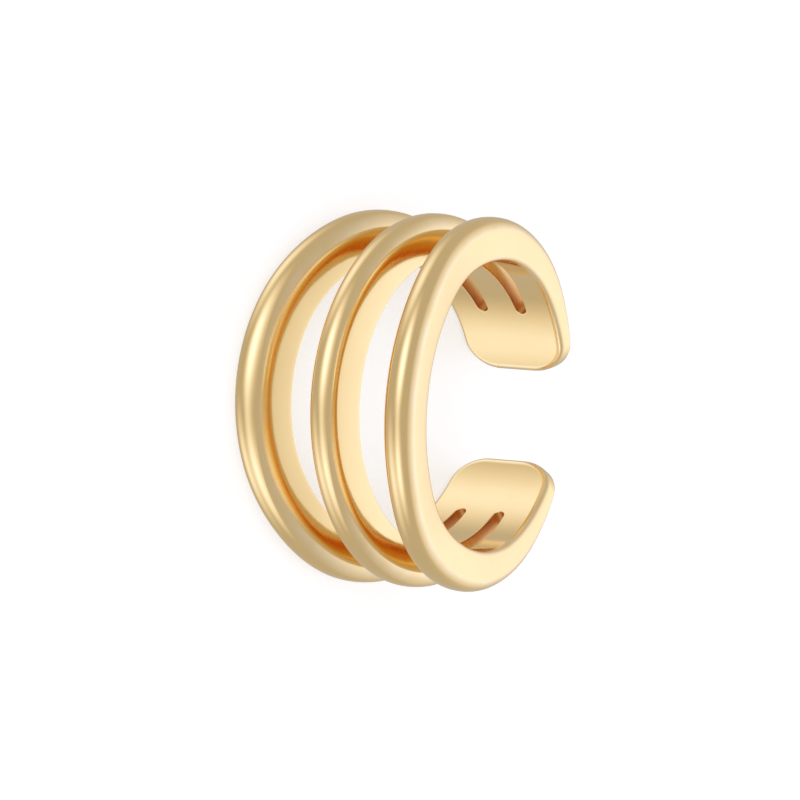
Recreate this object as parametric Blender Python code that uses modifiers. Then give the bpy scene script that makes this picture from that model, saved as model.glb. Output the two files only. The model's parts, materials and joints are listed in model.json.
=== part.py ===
# Ear cuff: one casting of three domed bands, fanned apart round the back of the
# ring and run together into a grip plate on each side of its opening.
# The ring is drawn with its axis along Z and its opening at +Y, then tipped over
# until it lies on its lower side. Angles round the ring start at the back, at -Y.
import bpy
import bmesh
from math import asin, atan2, cos, pi, radians, sin, tan
from mathutils import Vector

MM = 0.001

# the ring
INNER_RADIUS = 4.68 * MM
GAP = 2.87 * MM             # clear opening between the two grip plates

# each band, as it is at the back of the ring
BAND_WIDTH = 1.15 * MM
BAND_WALL = 1.23 * MM       # height of its straight sides
BAND_CROWN = 0.35 * MM      # height of the dome over them
SLOT_WIDTH = 1.57 * MM      # between neighbouring bands
OUTER_LEAN = radians(10.6)  # how far the sides of the two outer bands lean outward
OUTER_DROP = 0.15 * MM      # how much lower than the middle band their straight sides are
OUTER_SWELL = 0.16 * MM     # how much higher their domes are

# the grip plates
PLATE_LENGTH = 2.10 * MM    # along the inside, from the slots' ends to the tip
CORNER_LENGTH = 0.90 * MM   # of the rounding at the tip, along the plate
CORNER_WIDTH = 1.20 * MM    # and across it
PLATE_CROWN = 0.22 * MM     # one low dome over the whole plate at its tip
GROOVE_FADE = 1.00 * MM     # how far ahead of the slots' ends the bands start to merge

# Sections from the back (0) to the tip (1), as shares of the sizes above.
SECTION_COLUMNS = ("along", "slot", "width", "wall", "crown", "lean")
SECTIONS = (
    (0.00, 1.000, 1.000, 1.000, 1.00, 1.00),
    (0.18, 0.965, 0.965, 0.990, 0.97, 0.84),
    (0.37, 0.795, 0.920, 0.955, 0.90, 0.41),
    (0.55, 0.655, 0.930, 0.870, 0.81, 0.05),
    (0.70, 0.435, 0.965, 0.745, 0.74, 0.00),
    (0.84, 0.250, 0.980, 0.590, 0.67, 0.00),
    (1.00, 0.120, 0.980, 0.400, 0.60, 0.00),
)

CROWN_FULLNESS = 2.5        # 2 is a parabola, more is flatter on top
BAND_ROWS = 28              # mesh rows from the back to where the slots round off
ARC_ROWS = 4                # rows round a slot's end and round a tip's corner
PLATE_ROWS = 4
CROWN_CELLS = 6             # faces across one band's dome
WELD = 0.001 * MM
SHARP_ANGLE = radians(28)

GOLD = (0.86, 0.64, 0.33, 1.0)
POLISH = 0.12               # roughness


def section(along, name):
    """Smooth value of one section column at a share of the way to the tip."""
    column = SECTION_COLUMNS.index(name)
    knots = [row[0] for row in SECTIONS]
    values = [row[column] for row in SECTIONS]
    last = len(knots) - 1
    slopes = [0.0]
    for i in range(1, last):
        slopes.append((values[i + 1] - values[i - 1]) / (knots[i + 1] - knots[i - 1]))
    slopes.append((values[last] - values[last - 1]) / (knots[last] - knots[last - 1]))
    i = max(k for k in range(last) if along >= knots[k])
    step = knots[i + 1] - knots[i]
    t = (along - knots[i]) / step
    start = (1 + 2 * t) * values[i] + t * step * slopes[i]
    end = (3 - 2 * t) * values[i + 1] + (t - 1) * step * slopes[i + 1]
    return start * (1 - t) ** 2 + end * t ** 2


def tip_angle():
    return pi - asin(GAP / 2 / INNER_RADIUS)


def slot_end_angle():
    return tip_angle() - PLATE_LENGTH / INNER_RADIUS


def ring_rows():
    """Each row's angle, how open its slots are, and how far its corner is cut in."""
    slot_end = slot_end_angle()
    end_slot = SLOT_WIDTH * section(slot_end / tip_angle(), "slot")
    round_off = end_slot / 2 / INNER_RADIUS
    corner = CORNER_LENGTH / INNER_RADIUS
    corner_start = tip_angle() - corner
    turns = [pi / 2 * (i + 1) / ARC_ROWS for i in range(ARC_ROWS)]
    rows = []
    for i in range(BAND_ROWS + 1):
        rows.append(((slot_end - round_off) * i / BAND_ROWS, 1.0, 0.0))
    for turn in turns:
        rows.append((slot_end - round_off * (1 - sin(turn)), cos(turn), 0.0))
    for i in range(PLATE_ROWS):
        share = (i + 1) / PLATE_ROWS
        rows.append((slot_end + (corner_start - slot_end) * share, 0.0, 0.0))
    for turn in turns:
        rows.append((corner_start + corner * sin(turn), 0.0, CORNER_WIDTH * (1 - cos(turn))))
    return rows


def band_point(angle, lean, across, rise):
    """A point at a height over the inner face, and across from the ring's middle."""
    outward = Vector((sin(angle), -cos(angle), 0.0))
    upward = Vector((0.0, 0.0, 1.0))
    return outward * (INNER_RADIUS + rise) + upward * (across + rise * tan(lean))


def row_lines(angle, opening, inset):
    """Inner and outer points of the middle band's upper half and of the upper band."""
    along = angle / tip_angle()
    half = BAND_WIDTH * section(along, "width") / 2
    wall = BAND_WALL * section(along, "wall")
    crown = BAND_CROWN * section(along, "crown")
    slot = SLOT_WIDTH * section(along, "slot")
    leaning = section(along, "lean")
    spacing = 2 * half + slot
    plate_half = spacing + half
    squeeze = 1 - inset / plate_half
    slot_edge = half + (1 - opening) * slot / 2
    merge_start = slot_end_angle() - GROOVE_FADE / INNER_RADIUS
    merged = max(0.0, (angle - merge_start) / (tip_angle() - merge_start))
    blend = merged * merged * (3 - 2 * merged)
    bands = (
        (0.0, 0.0, -slot_edge, slot_edge, CROWN_CELLS // 2),
        (spacing, leaning, -slot_edge, half, 0),
    )
    lines = []
    for middle, share, low, high, first_cell in bands:
        inner = []
        outer = []
        for i in range(first_cell, CROWN_CELLS + 1):
            side = sin(pi * (i / CROWN_CELLS - 0.5))
            across = low + (high - low) * (side + 1) / 2
            plate_side = (middle + across) / plate_half
            dome = (crown + OUTER_SWELL * share) * (1 - abs(across / half) ** CROWN_FULLNESS)
            plate_dome = PLATE_CROWN * (1 - abs(plate_side) ** CROWN_FULLNESS)
            rise = wall - OUTER_DROP * share + dome + (plate_dome - dome) * blend
            place = (middle + across) * squeeze
            inner.append(band_point(angle, OUTER_LEAN * share, place, 0.0))
            outer.append(band_point(angle, OUTER_LEAN * share, place, rise))
        lines.append((inner, outer))
    return lines


def add_sheet(mesh, lines):
    """A sheet of four-sided faces through equally long lines of points."""
    grid = [[mesh.verts.new(point) for point in line] for line in lines]
    for near, far in zip(grid, grid[1:]):
        for j in range(len(near) - 1):
            mesh.faces.new((near[j], far[j], far[j + 1], near[j + 1]))


def quarter_mesh():
    """The upper half of one side of the ring, open where its mirror halves meet."""
    rows = ring_rows()
    sections = [row_lines(*row) for row in rows]
    slot_lines = sections[:BAND_ROWS + 1 + ARC_ROWS]
    mesh = bmesh.new()
    for band in (0, 1):
        add_sheet(mesh, [s[band][1] for s in sections])
        add_sheet(mesh, [s[band][0][::-1] for s in sections])
        inner, outer = sections[-1][band]
        add_sheet(mesh, [outer, inner])
    add_sheet(mesh, [(s[1][1][-1], s[1][0][-1]) for s in sections])
    add_sheet(mesh, [(s[0][1][-1], s[0][0][-1]) for s in slot_lines])
    add_sheet(mesh, [(s[1][0][0], s[1][1][0]) for s in slot_lines])
    bmesh.ops.remove_doubles(mesh, verts=mesh.verts, dist=WELD)
    quarter = bpy.data.meshes.new("ear_cuff")
    mesh.to_mesh(quarter)
    mesh.free()
    return quarter


def lying_pose(points):
    """Tilt and shift that rest the ring on its lower side, middle over the origin."""
    side_view = sorted((p.y, -abs(p.z)) for p in points)
    hull = []
    for y, z in side_view:
        while len(hull) > 1:
            (y0, z0), (y1, z1) = hull[-2:]
            if (y1 - y0) * (z - z0) > (z1 - z0) * (y - y0):
                break
            hull.pop()
        hull.append((y, z))
    for (y0, z0), (y1, z1) in zip(hull, hull[1:]):
        if y0 <= 0.0 < y1:
            tilt = -atan2(z1 - z0, y1 - y0)
    turned = []
    for p in points:
        for z in (p.z, -p.z):
            turned.append((p.y * cos(tilt) - z * sin(tilt), p.y * sin(tilt) + z * cos(tilt)))
    ys = [y for y, z in turned]
    lowest = min(z for y, z in turned)
    return tilt, Vector((0.0, -(min(ys) + max(ys)) / 2, -lowest))


def gold_material():
    material = bpy.data.materials.new("polished_gold")
    material.use_nodes = True
    shader = material.node_tree.nodes["Principled BSDF"]
    shader.inputs["Base Color"].default_value = GOLD
    shader.inputs["Metallic"].default_value = 1.0
    shader.inputs["Roughness"].default_value = POLISH
    return material


def build():
    for old in list(bpy.data.objects):
        bpy.data.objects.remove(old)
    collection = bpy.data.collections.new("ear_cuff")
    bpy.context.scene.collection.children.link(collection)

    mesh = quarter_mesh()
    mesh.materials.append(gold_material())
    mesh.shade_smooth()
    mesh.set_sharp_from_angle(angle=SHARP_ANGLE)
    cuff = bpy.data.objects.new("ear_cuff", mesh)
    collection.objects.link(cuff)

    mirror = cuff.modifiers.new("Mirror", "MIRROR")
    mirror.use_axis = (True, False, True)
    mirror.merge_threshold = WELD

    tilt, shift = lying_pose([v.co for v in mesh.vertices])
    cuff.rotation_euler.x = tilt
    cuff.location = shift


build()
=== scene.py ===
import json
from functools import lru_cache
from math import asin, cos, pi, radians, sin, tan

import bmesh
import bpy
from mathutils import Matrix, Vector


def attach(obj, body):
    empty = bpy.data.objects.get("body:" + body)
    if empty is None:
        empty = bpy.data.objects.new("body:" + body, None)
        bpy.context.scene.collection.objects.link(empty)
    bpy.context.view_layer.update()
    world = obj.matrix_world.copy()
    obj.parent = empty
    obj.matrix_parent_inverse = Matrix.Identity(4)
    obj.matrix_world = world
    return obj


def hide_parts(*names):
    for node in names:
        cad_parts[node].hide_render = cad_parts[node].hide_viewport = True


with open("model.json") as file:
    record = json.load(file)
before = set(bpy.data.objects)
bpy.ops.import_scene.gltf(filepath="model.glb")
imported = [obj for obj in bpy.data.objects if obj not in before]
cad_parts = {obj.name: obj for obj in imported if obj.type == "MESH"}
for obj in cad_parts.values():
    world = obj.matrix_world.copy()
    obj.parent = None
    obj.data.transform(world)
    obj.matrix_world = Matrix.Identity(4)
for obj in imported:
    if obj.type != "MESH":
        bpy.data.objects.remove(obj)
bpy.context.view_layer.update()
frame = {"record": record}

mm = 0.001

# The ring lies tipped on the floor. Its two grip faces look at its axis, so they
# give where its middle is and which way its axis leans.
mounts = {m["name"]: m for m in frame["record"]["mounts"]}
gripSpot = Vector(mounts["grip_face_right"]["pos_m"])
gripNormal = Vector(mounts["grip_face_right"]["axis"])
otherNormal = Vector(mounts["grip_face_left"]["axis"])
sideways = Vector((1, 0, 0))
ringAxis = otherNormal.cross(gripNormal).normalized()
ringAxis *= 1 if ringAxis.z > 0 else -1
openingWay = ringAxis.cross(sideways)
ringMiddle = gripSpot - gripNormal * (gripSpot.x / gripNormal.x)
ringPlace = Matrix((sideways, openingWay, ringAxis)).transposed().to_4x4()
ringPlace.translation = ringMiddle


def linear(hexColour):
    channels = [int(hexColour[i:i + 2], 16) / 255 for i in (1, 3, 5)]
    return [c / 12.92 if c <= 0.04045 else ((c + 0.055) / 1.055) ** 2.4 for c in channels] + [1.0]


def addNode(tree, kind, inputs=None, **settings):
    node = tree.nodes.new("ShaderNode" + kind)
    for name, value in settings.items():
        setattr(node, name, value)
    for socket, value in (inputs or {}).items():
        if isinstance(value, bpy.types.NodeSocket):
            tree.links.new(value, node.inputs[socket])
        else:
            node.inputs[socket].default_value = value
    return node


# Camera: the photo's angle to the ring, now looking down on it as it lies. Its angles
# and the ring's pixel come from a least-squares fit to edges measured in the photo.
shot = {
    "distance": 333 * mm,
    "pixelsPerMm": 31.0,
    "pictureWidth": 800,          # pixels
    "sensor": 36.0,
    "nearClip": 5 * mm,
    "farClip": 20.0,
    "ringTurn": radians(10.45),   # the ring's turn about its own axis in the picture
    "offAxis": radians(53.7),     # from the ring's axis to the line of sight
    "above": radians(6.1),
    "ringPixel": (431.9, 401.2),  # where the ring's middle shows
}


def makeCamera():
    data = bpy.data.cameras.new("photoCamera")
    camera = bpy.data.objects.new("photoCamera", data)
    bpy.context.scene.collection.objects.link(camera)
    width = shot["pictureWidth"] / shot["pixelsPerMm"] * mm
    data.sensor_width = shot["sensor"]
    data.lens = shot["sensor"] * shot["distance"] / width
    data.clip_start = shot["nearClip"]
    data.clip_end = shot["farClip"]
    # the picture's own axes: the ring's axis, its opening and straight up the photo
    pictureAxes = Matrix((ringAxis, openingWay, -sideways)).transposed()
    facing = Matrix(((0, 0, 1), (1, 0, 0), (0, 1, 0)))
    turn = (pictureAxes
            @ Matrix.Rotation(shot["ringTurn"], 3, "X")
            @ Matrix.Rotation(-shot["offAxis"], 3, "Z")
            @ Matrix.Rotation(-shot["above"], 3, "Y")
            @ facing)
    half = shot["pictureWidth"] / 2
    right = (half - shot["ringPixel"][0]) / shot["pixelsPerMm"] * mm
    up = (shot["ringPixel"][1] - half) / shot["pixelsPerMm"] * mm
    camera.matrix_world = (Matrix.Translation(ringMiddle) @ turn.to_4x4()
                           @ Matrix.Translation((right, up, shot["distance"])))
    bpy.context.scene.camera = camera
    return camera


camera = makeCamera()
print("camera placed", [round(v / mm, 1) for v in camera.location])


# The cuff: one cast ring. Lengths in metres; the section table holds shares of them.
# The places along the ring were chosen. The shares there came from the same fit,
# rounded, and only the last four leans and the wall at the tip were then changed.
cuff = {
    "innerRadius": 4.68 * mm,
    "gap": 2.87 * mm,
    "bandWidth": 1.15 * mm,
    "bandWall": 1.23 * mm,
    "bandCrown": 0.35 * mm,
    "slotWidth": 1.57 * mm,
    "outerLean": radians(10.6),
    "outerDrop": 0.15 * mm,
    "outerSwell": 0.16 * mm,
    "plateLength": 2.10 * mm,
    "cornerLength": 0.90 * mm,
    "cornerWidth": 1.20 * mm,
    "plateCrown": 0.22 * mm,
    "grooveFade": 1.00 * mm,
    "crownFullness": 2.5,
    "draft": radians(4.5),      # of the middle band's sides, which narrow outward
    "belly": 0.012 * mm,        # how far the side walls swell in their middle
    "creaseRound": 0.12 * mm,   # how far in from each dome's edge polishing rounds it over
    "shoulder": 0.12 * mm,      # how much wider that is on the flanks of the slots
    "creaseDrop": 0.70,         # and how far down its side, as a share of that
    "slotRound": 0.035 * mm,    # edges of the slots on the inner face
    "comfortRound": 0.20 * mm,  # edges of the inner face that touch the ear
    "bandRows": 120,
    "arcRows": 14,
    "plateRows": 16,
    "crownCells": 12,
    "roundSteps": 6,
    "wallSteps": 6,
    "weld": 0.0004 * mm,
    "castAndShadeWidths": (0.80 * mm, 0.35 * mm),  # slot widths where a buffing wheel starts to miss, and misses all; the darker orange shade painted into the slots starts and is full there too
    "sections": (
        # along, slot, width, wall, crown, lean
        (0.00, 1.000, 1.000, 1.000, 1.00, 1.00),
        (0.18, 0.965, 0.965, 0.990, 0.97, 0.84),
        (0.37, 0.795, 0.920, 0.955, 0.90, 0.41),
        (0.55, 0.655, 0.930, 0.870, 0.81, 0.05),
        (0.70, 0.435, 0.965, 0.745, 0.74, 0.00),
        (0.84, 0.250, 0.980, 0.590, 0.67, 0.00),
        (1.00, 0.120, 0.980, 0.400, 0.60, 0.00),
    ),
}
tipAngle = pi - asin(cuff["gap"] / 2 / cuff["innerRadius"])
slotEnd = tipAngle - cuff["plateLength"] / cuff["innerRadius"]


def tableRow(along):
    # every column of the section table, smoothly, at a share of the way to the tip
    rows = cuff["sections"]
    last = len(rows) - 1
    i = max(k for k in range(last) if along >= rows[k][0])
    step = rows[i + 1][0] - rows[i][0]
    t = (along - rows[i][0]) / step

    def slope(k, column):
        low, high = rows[max(k - 1, 0)], rows[min(k + 1, last)]
        return 0.0 if k == 0 else (high[column] - low[column]) / (high[0] - low[0])

    values = []
    for column in range(1, len(rows[0])):
        start = (1 + 2 * t) * rows[i][column] + t * step * slope(i, column)
        end = (3 - 2 * t) * rows[i + 1][column] + (t - 1) * step * slope(i + 1, column)
        values.append(start * (1 - t) ** 2 + end * t ** 2)
    return values


@lru_cache(maxsize=None)
def ringSection(angle):
    slotShare, widthShare, wallShare, crownShare, leanShare = tableRow(angle / tipAngle)
    half = cuff["bandWidth"] * widthShare / 2
    slot = cuff["slotWidth"] * slotShare
    spacing = 2 * half + slot
    mergeStart = slotEnd - cuff["grooveFade"] / cuff["innerRadius"]
    merged = max(0.0, (angle - mergeStart) / (tipAngle - mergeStart))
    blend = merged * merged * (3 - 2 * merged)
    return {
        "half": half,
        "slot": slot,
        "spacing": spacing,
        "seam": spacing / 2,
        "edge": spacing + half,
        "wall": cuff["bandWall"] * wallShare,
        "crown": cuff["bandCrown"] * crownShare,
        "leaning": leanShare,
        "blend": blend,
    }


def castPoint(angle, across, height=None):
    # across counts from the ring's middle; with no height the point is on the domed side
    s = ringSection(angle)
    middle, leaning = (s["spacing"], s["leaning"]) if across > s["seam"] else (0.0, 0.0)
    if height is None:
        full = cuff["crownFullness"]
        crown = s["crown"] + cuff["outerSwell"] * leaning
        dome = crown * (1 - abs((across - middle) / s["half"]) ** full)
        plateDome = cuff["plateCrown"] * (1 - abs(across / s["edge"]) ** full)
        height = s["wall"] - cuff["outerDrop"] * leaning + dome + (plateDome - dome) * s["blend"]
    outward = Vector((sin(angle), -cos(angle), 0.0))
    upward = Vector((0.0, 0.0, 1.0))
    if across > s["seam"]:
        lean = tan(cuff["outerLean"] * s["leaning"])
    else:
        lean = -tan(cuff["draft"] * s["leaning"]) * across / s["half"]
    return outward * (cuff["innerRadius"] + height) + upward * (across + height * lean)


def ringRows(slotInset, sideInset, shoulder=0.0):
    # Rows across the upper half of one side, from the back to the tip, with the slot
    # outline grown and the side outline drawn in. Each holds its angle, where the
    # middle band ends, where the upper band starts and ends, and its squeeze. The slots
    # grow further by a shoulder, widest half way to their ends.
    radius = cuff["innerRadius"]
    roundOff = cuff["slotWidth"] * tableRow(slotEnd / tipAngle)[0] / 2
    arcStart = slotEnd - roundOff / radius
    cornerStart = tipAngle - cuff["cornerLength"] / radius
    turns = [pi / 2 * (i + 1) / cuff["arcRows"] for i in range(cuff["arcRows"])]
    rows = []
    for i in range(cuff["bandRows"] + 1):
        angle = arcStart * i / cuff["bandRows"]
        s = ringSection(angle)
        slotHalf = s["slot"] / 2 + slotInset + shoulder * sin(pi * i / cuff["bandRows"])
        rows.append((angle, s["seam"] - slotHalf, s["seam"] + slotHalf, s["edge"] - sideInset, 1.0))
    for t in turns:
        angle = arcStart + (roundOff + slotInset) * sin(t) / radius
        s = ringSection(angle)
        slotHalf = (s["slot"] / 2 + slotInset) * cos(t)
        rows.append((angle, s["seam"] - slotHalf, s["seam"] + slotHalf, s["edge"] - sideInset, 1.0))
    plateStart = slotEnd + slotInset / radius
    for i in range(cuff["plateRows"]):
        angle = plateStart + (cornerStart - plateStart) * (i + 1) / cuff["plateRows"]
        s = ringSection(angle)
        rows.append((angle, s["seam"], s["seam"], s["edge"] - sideInset, 1.0))
    for t in turns:
        angle = cornerStart + (cuff["cornerLength"] - sideInset) * sin(t) / radius
        s = ringSection(angle)
        side = s["edge"] - cuff["cornerWidth"] + (cuff["cornerWidth"] - sideInset) * cos(t)
        rows.append((angle, s["seam"], s["seam"], s["edge"] - sideInset, side / (s["edge"] - sideInset)))
    return rows


def faceLines(rows, height=None):
    # the points of one face on each row: the middle band's upper half, then the upper band
    cells = cuff["crownCells"]
    lines = ([], [])
    for angle, middleEnd, upperStart, upperEnd, squeeze in rows:
        for line, low, high, first in ((lines[0], -middleEnd, middleEnd, cells // 2),
                                       (lines[1], upperStart, upperEnd, 0)):
            places = [low + (high - low) * (1 - cos(pi * i / cells)) / 2
                      for i in range(first, cells + 1)]
            line.append([castPoint(angle, p * squeeze, height) for p in places])
    return lines


def curve(start, middle, end, steps):
    shares = [i / steps for i in range(steps + 1)]
    return [start * (1 - t) ** 2 + middle * 2 * t * (1 - t) + end * t ** 2 for t in shares]


def roundedWall(outer, corner, foot, innerCorner, inner):
    # down a wall from the domed face to the inner one: both its edges rounded, and
    # the wall between them a little swollen
    rise = (corner - innerCorner).normalized()
    top = corner - rise * (outer - corner).length * cuff["creaseDrop"]
    bottom = innerCorner + rise * foot
    intoMetal = inner - innerCorner - rise * rise.dot(inner - innerCorner)
    height = (top - bottom).length
    swell = cuff["belly"] * min(1.0, height / cuff["bandWall"])
    middle = (top + bottom) / 2 - intoMetal.normalized() * swell * 2
    topBend = top + (top - middle).normalized() * (corner - top).length
    bottomBend = bottom + (bottom - middle).normalized() * foot
    return (curve(outer, topBend, top, cuff["roundSteps"])
            + curve(top, middle, bottom, cuff["wallSteps"])[1:-1]
            + curve(bottom, bottomBend, inner, cuff["roundSteps"]))


def addSheet(mesh, lines):
    grid = [[mesh.verts.new(point) for point in line] for line in lines]
    for near, far in zip(grid, grid[1:]):
        for j in range(len(near) - 1):
            mesh.faces.new((near[j], far[j], far[j + 1], near[j + 1]))
    return grid


def markWall(mesh, grid, unreachedAndShaded=()):
    # for the material: how rubbed each point is, which also paints a pale highlight along the edges, and how
    # far out of the wheel's reach, which also paints darker orange shade into the narrow slots
    wearAndSheen, dull = mesh.verts.layers.float["wearAndSheen"], mesh.verts.layers.float["unreachedAndShaded"]
    steps = cuff["roundSteps"]
    for line in grid:
        for i in range(1, steps):
            line[i][wearAndSheen] = line[-1 - i][wearAndSheen] = sin(pi * i / steps)
    for line, share in zip(grid, unreachedAndShaded):
        for vertex in line[steps:-steps]:
            vertex[dull] = share


def makeCuff():
    crease, slotRound, comfort = cuff["creaseRound"], cuff["slotRound"], cuff["comfortRound"]
    outer = faceLines(ringRows(crease, crease, cuff["shoulder"]))
    inner = faceLines(ringRows(slotRound, comfort), 0.0)
    topEdge = faceLines(ringRows(0.0, 0.0))
    innerEdge = faceLines(ringRows(0.0, 0.0), 0.0)
    slotRows = cuff["bandRows"] + 1 + cuff["arcRows"]
    wide, narrow = cuff["castAndShadeWidths"]
    slots = [ringSection(row[0])["slot"] for row in ringRows(0.0, 0.0)[:slotRows]]
    # how far each slot row is out of the wheel's reach, which also sets how much darker orange shade is
    # painted on its walls
    unreachedAndShaded = [min(1.0, max(0.0, (wide - slot) / (wide - narrow))) for slot in slots]

    def wall(band, row, column, foot):
        return roundedWall(outer[band][row][column], topEdge[band][row][column], foot,
                           innerEdge[band][row][column], inner[band][row][column])

    mesh = bmesh.new()
    mesh.verts.layers.float.new("wearAndSheen")
    mesh.verts.layers.float.new("unreachedAndShaded")
    for band in (0, 1):
        addSheet(mesh, outer[band])
        addSheet(mesh, [line[::-1] for line in inner[band]])
        tipColumns = range(len(outer[band][-1]) - 1, -1, -1)
        markWall(mesh, addSheet(mesh, [wall(band, -1, column, comfort) for column in tipColumns]))
    side = [wall(1, row, -1, comfort) for row in range(len(outer[1]))]
    markWall(mesh, addSheet(mesh, side))
    facing = [wall(0, row, -1, slotRound) for row in range(slotRows)]
    markWall(mesh, addSheet(mesh, facing), unreachedAndShaded)
    turned = [wall(1, row, 0, slotRound)[::-1] for row in range(slotRows)]
    markWall(mesh, addSheet(mesh, turned), unreachedAndShaded)
    for flip in ((-1, 1, 1), (1, 1, -1)):
        half = mesh.faces[:]
        twin = bmesh.ops.duplicate(mesh, geom=mesh.verts[:] + half)
        faces = [g for g in twin["geom"] if isinstance(g, bmesh.types.BMFace)]
        verts = [g for g in twin["geom"] if isinstance(g, bmesh.types.BMVert)]
        bmesh.ops.scale(mesh, vec=flip, verts=verts)
        bmesh.ops.reverse_faces(mesh, faces=faces)
    bmesh.ops.remove_doubles(mesh, verts=mesh.verts, dist=cuff["weld"])
    mesh.transform(ringPlace)
    data = bpy.data.meshes.new("cuffCasting")
    mesh.to_mesh(data)
    mesh.free()
    data.shade_smooth()
    piece = bpy.data.objects.new("cuffCasting", data)
    bpy.context.scene.collection.objects.link(piece)
    normals = piece.modifiers.new("evenNormals", "WEIGHTED_NORMAL")
    normals.keep_sharp = False
    return piece


castRing = makeCuff()
print("cuff modelled with", len(castRing.data.polygons), "faces")


# Cast brass, buffed to a mirror and plated with pale gold. To the eye: soft-edged
# reflections with faint buffing lines round the ring, paler rubbed edges that are partly
# a painted highlight, and dull metal as it was cast in the narrow slots, painted a darker
# orange there as shade. The main colour is within two steps in 255 of what a fit to the
# photo's gold gave.
gold = {
    "colour": "#FBE0A8",
    "deepColour": "#F9DCA0",
    "wearAndSheenColour": "#FFEBC4",   # high edges, where the plating is worn thin; the paler colour is also a painted highlight along them
    "castAndShadeColour": "#E2A25C",     # where the wheel doesn't reach; the darker orange is shade painted into the narrow slots
    "roughness": (0.09, 0.15),   # between and along the buffing lines
    "rubbedRoughness": 0.20,
    "castRoughness": 0.42,
    "waveLength": 1.6,      # mm, what the buffing wheel leaves
    "waveHeight": 0.004 * mm,
    "lineWidth": 0.05,      # mm, buffing lines, drawn some five times coarser than real
    "lineLength": 1.2,      # mm
    "lineHeight": 0.00012 * mm,
    "lineContrast": (0.3, 0.7),  # the part of the noise that makes the lines
    "cloudsPerMm": 0.9,     # slow change of tone over the plating
    "wearAndSheenPatches": (0.3, 0.65),  # the clouds where rubbing, and the painted edge highlight with it, is least, and full
    "leastWearAndSheen": 0.25,
    "grain": 0.06,          # mm, the cast skin in the slots
    "grainHeight": 0.002 * mm,
}


def makeGold():
    material = bpy.data.materials.new("buffedGoldPlate")
    material.use_nodes = True
    tree = material.node_tree
    shader = tree.nodes["Principled BSDF"]
    shader.inputs["Metallic"].default_value = 1.0

    # millimetres along the ring's own axes, then round the ring
    turnBack = ringPlace.to_3x3().inverted().to_euler()
    toRing = -(ringPlace.to_3x3().inverted() @ ringMiddle) / mm
    objectSpot = addNode(tree, "TexCoord").outputs["Object"]
    spot = addNode(tree, "Mapping", {"Vector": objectSpot, "Scale": (1 / mm, 1 / mm, 1 / mm),
                                     "Rotation": turnBack, "Location": toRing}).outputs[0]
    axes = addNode(tree, "SeparateXYZ", {0: spot})
    turn = addNode(tree, "Math", {0: axes.outputs["X"], 1: axes.outputs["Y"]}, operation="ARCTAN2")
    arc = addNode(tree, "Math", {0: turn.outputs[0], 1: cuff["innerRadius"] / mm / gold["lineLength"]},
                  operation="MULTIPLY")
    across = addNode(tree, "Math", {0: axes.outputs["Z"], 1: 1 / gold["lineWidth"]}, operation="MULTIPLY")
    depth = addNode(tree, "VectorMath", {0: spot}, operation="LENGTH")
    layer = addNode(tree, "Math", {0: depth.outputs["Value"], 1: 1 / gold["lineWidth"]},
                    operation="MULTIPLY")
    roundRing = addNode(tree, "CombineXYZ", {0: arc.outputs[0], 1: across.outputs[0],
                                             2: layer.outputs[0]})
    lines = addNode(tree, "TexNoise", {"Vector": roundRing.outputs[0], "Scale": 1.0, "Detail": 2.0})
    waves = addNode(tree, "TexNoise", {"Vector": spot, "Scale": 1 / gold["waveLength"], "Detail": 1.0})
    cloud = addNode(tree, "TexNoise", {"Vector": spot, "Scale": gold["cloudsPerMm"], "Detail": 3.0})
    grain = addNode(tree, "TexNoise", {"Vector": spot, "Scale": 1 / gold["grain"], "Detail": 2.0})

    # where edges are rubbed, broken up a little, which also paints a pale highlight along them, and where
    # the metal is left as cast, which also paints darker orange shade into the narrow slots
    edge = addNode(tree, "Attribute", attribute_name="wearAndSheen")
    least, full = gold["wearAndSheenPatches"]
    patchy = addNode(tree, "MapRange", {"Value": cloud.outputs["Fac"], "From Min": least,
                                        "From Max": full, "To Min": gold["leastWearAndSheen"]})
    wearAndSheen = addNode(tree, "Math", {0: edge.outputs["Fac"], 1: patchy.outputs[0]},
                     operation="MULTIPLY").outputs[0]
    castAndShade = addNode(tree, "Attribute", attribute_name="unreachedAndShaded").outputs["Fac"]

    tone = addNode(tree, "Mix", {"Factor": cloud.outputs["Fac"], 6: linear(gold["colour"]),
                                 7: linear(gold["deepColour"])}, data_type="RGBA")
    # paler rubbed edges: worn plating, and a highlight painted along them
    tone = addNode(tree, "Mix", {"Factor": wearAndSheen, 6: tone.outputs[2],
                                 7: linear(gold["wearAndSheenColour"])}, data_type="RGBA")
    # darker orange in the narrow slots: shade painted over their as-cast metal
    tone = addNode(tree, "Mix", {"Factor": castAndShade, 6: tone.outputs[2],
                                 7: linear(gold["castAndShadeColour"])}, data_type="RGBA")
    tree.links.new(tone.outputs[2], shader.inputs["Base Color"])

    smooth, dull = gold["roughness"]
    low, high = gold["lineContrast"]
    gloss = addNode(tree, "MapRange", {"Value": lines.outputs["Fac"], "From Min": low,
                                       "From Max": high, "To Min": smooth, "To Max": dull})
    for share, roughness in ((wearAndSheen, gold["rubbedRoughness"]), (castAndShade, gold["castRoughness"])):
        gloss = addNode(tree, "Mix", {0: share, 2: gloss.outputs[0], 3: roughness})
    tree.links.new(gloss.outputs[0], shader.inputs["Roughness"])

    wave = addNode(tree, "Bump", {"Strength": 1.0, "Distance": gold["waveHeight"],
                                  "Height": waves.outputs["Fac"]})
    line = addNode(tree, "Bump", {"Strength": 1.0, "Distance": gold["lineHeight"],
                                  "Height": lines.outputs["Fac"], "Normal": wave.outputs[0]})
    skin = addNode(tree, "Bump", {"Strength": castAndShade, "Distance": gold["grainHeight"],
                                  "Height": grain.outputs["Fac"], "Normal": line.outputs[0]})
    tree.links.new(skin.outputs[0], shader.inputs["Normal"])
    return material


castRing.data.materials.append(makeGold())
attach(castRing, "root")
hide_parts("ear_cuff")
print("gold plated")
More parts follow.
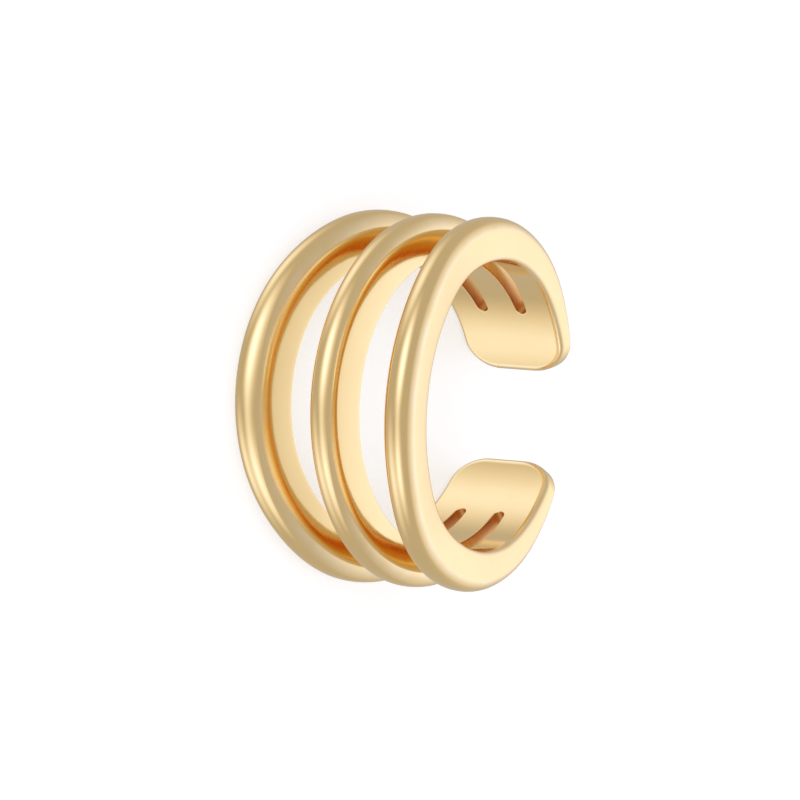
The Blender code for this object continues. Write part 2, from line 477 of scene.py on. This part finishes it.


# Stage: a plain white floor under soft studio light: an even glow from all round, and
# five big diffusers for the domes, the sides and the plates. Where they stand, and the
# light's two tints, follow the same fit as the gold's colour, to within 12 degrees and
# 15 steps in 255. How far they spread and how bright they are was set one by one.
stage = {
    "floorSize": 3.0,
    "floorColour": "#E9EDF4",
    "floorGlow": 0.5,
    "bounces": 16,                   # light reaches deep into the narrow ends of the slots
    "evenLight": 0.55,
    "warmLight": ("#FFF8F0", 1.0),   # of the dimmer places, and how strong the colour is
    "coolLight": ("#DDE6FF", 1.3),   # of the brightest
    "warmToCool": (0.6, 1.5),        # the brightness where one starts and the other is reached
    "diffusers": (
        # degrees round from +X, degrees up, how far it spreads, how bright in the middle
        (-110, 20, 50, 1.0),   # big one on the left, for the bands' domes
        (-40, 20, 45, 0.8),    # its partner on the right
        (90, 20, 60, 0.65),    # along the ring's axis, for the bands' sides
        (-40, -35, 40, 0.6),   # two low cards, for the inner faces of the plates
        (-160, -35, 40, 0.6),
    ),
}


def makeFloor():
    bpy.ops.mesh.primitive_plane_add(size=stage["floorSize"])
    floor = bpy.context.object
    floor.name = "paleFloor"
    material = bpy.data.materials.new("mattWhiteSweep")
    material.use_nodes = True
    shader = material.node_tree.nodes["Principled BSDF"]
    shader.inputs["Base Color"].default_value = linear(stage["floorColour"])
    shader.inputs["Roughness"].default_value = 1.0
    shader.inputs["Specular IOR Level"].default_value = 0.0
    shader.inputs["Emission Color"].default_value = linear("#FFFFFF")
    shader.inputs["Emission Strength"].default_value = stage["floorGlow"]
    floor.data.materials.append(material)
    floor.visible_glossy = False    # the gold mirrors the studio's light, not the floor


def makeLight():
    world = bpy.data.worlds.new("softStudio")
    bpy.context.scene.world = world
    world.use_nodes = True
    tree = world.node_tree
    direction = addNode(tree, "TexCoord").outputs["Generated"]
    brightness = stage["evenLight"]
    for turn, up, spread, strength in stage["diffusers"]:
        middle = (cos(radians(up)) * cos(radians(turn)), cos(radians(up)) * sin(radians(turn)),
                  sin(radians(up)))
        facing = addNode(tree, "VectorMath", {0: direction, 1: middle}, operation="DOT_PRODUCT")
        away = addNode(tree, "Math", {0: facing.outputs["Value"]}, operation="ARCCOSINE")
        glow = addNode(tree, "MapRange", {"Value": away.outputs[0], "From Min": radians(spread),
                                          "From Max": 0.0, "To Max": strength},
                       interpolation_type="SMOOTHSTEP")
        brightness = addNode(tree, "Math", {0: brightness, 1: glow.outputs[0]},
                             operation="ADD").outputs[0]
    start, reached = stage["warmToCool"]
    cooler = addNode(tree, "MapRange", {"Value": brightness, "From Min": start, "From Max": reached},
                     interpolation_type="SMOOTHSTEP")
    warm, cool = [[c * gain for c in linear(hexColour)[:3]] + [1.0]
                  for hexColour, gain in (stage["warmLight"], stage["coolLight"])]
    colour = addNode(tree, "Mix", {"Factor": cooler.outputs[0], 6: warm, 7: cool}, data_type="RGBA")
    background = tree.nodes["Background"]
    tree.links.new(colour.outputs[2], background.inputs["Color"])
    tree.links.new(brightness, background.inputs["Strength"])


makeFloor()
makeLight()
bpy.context.scene.view_settings.view_transform = "Standard"
bpy.context.scene.cycles.max_bounces = stage["bounces"]
bpy.context.scene.cycles.glossy_bounces = stage["bounces"]
print("stage lit")
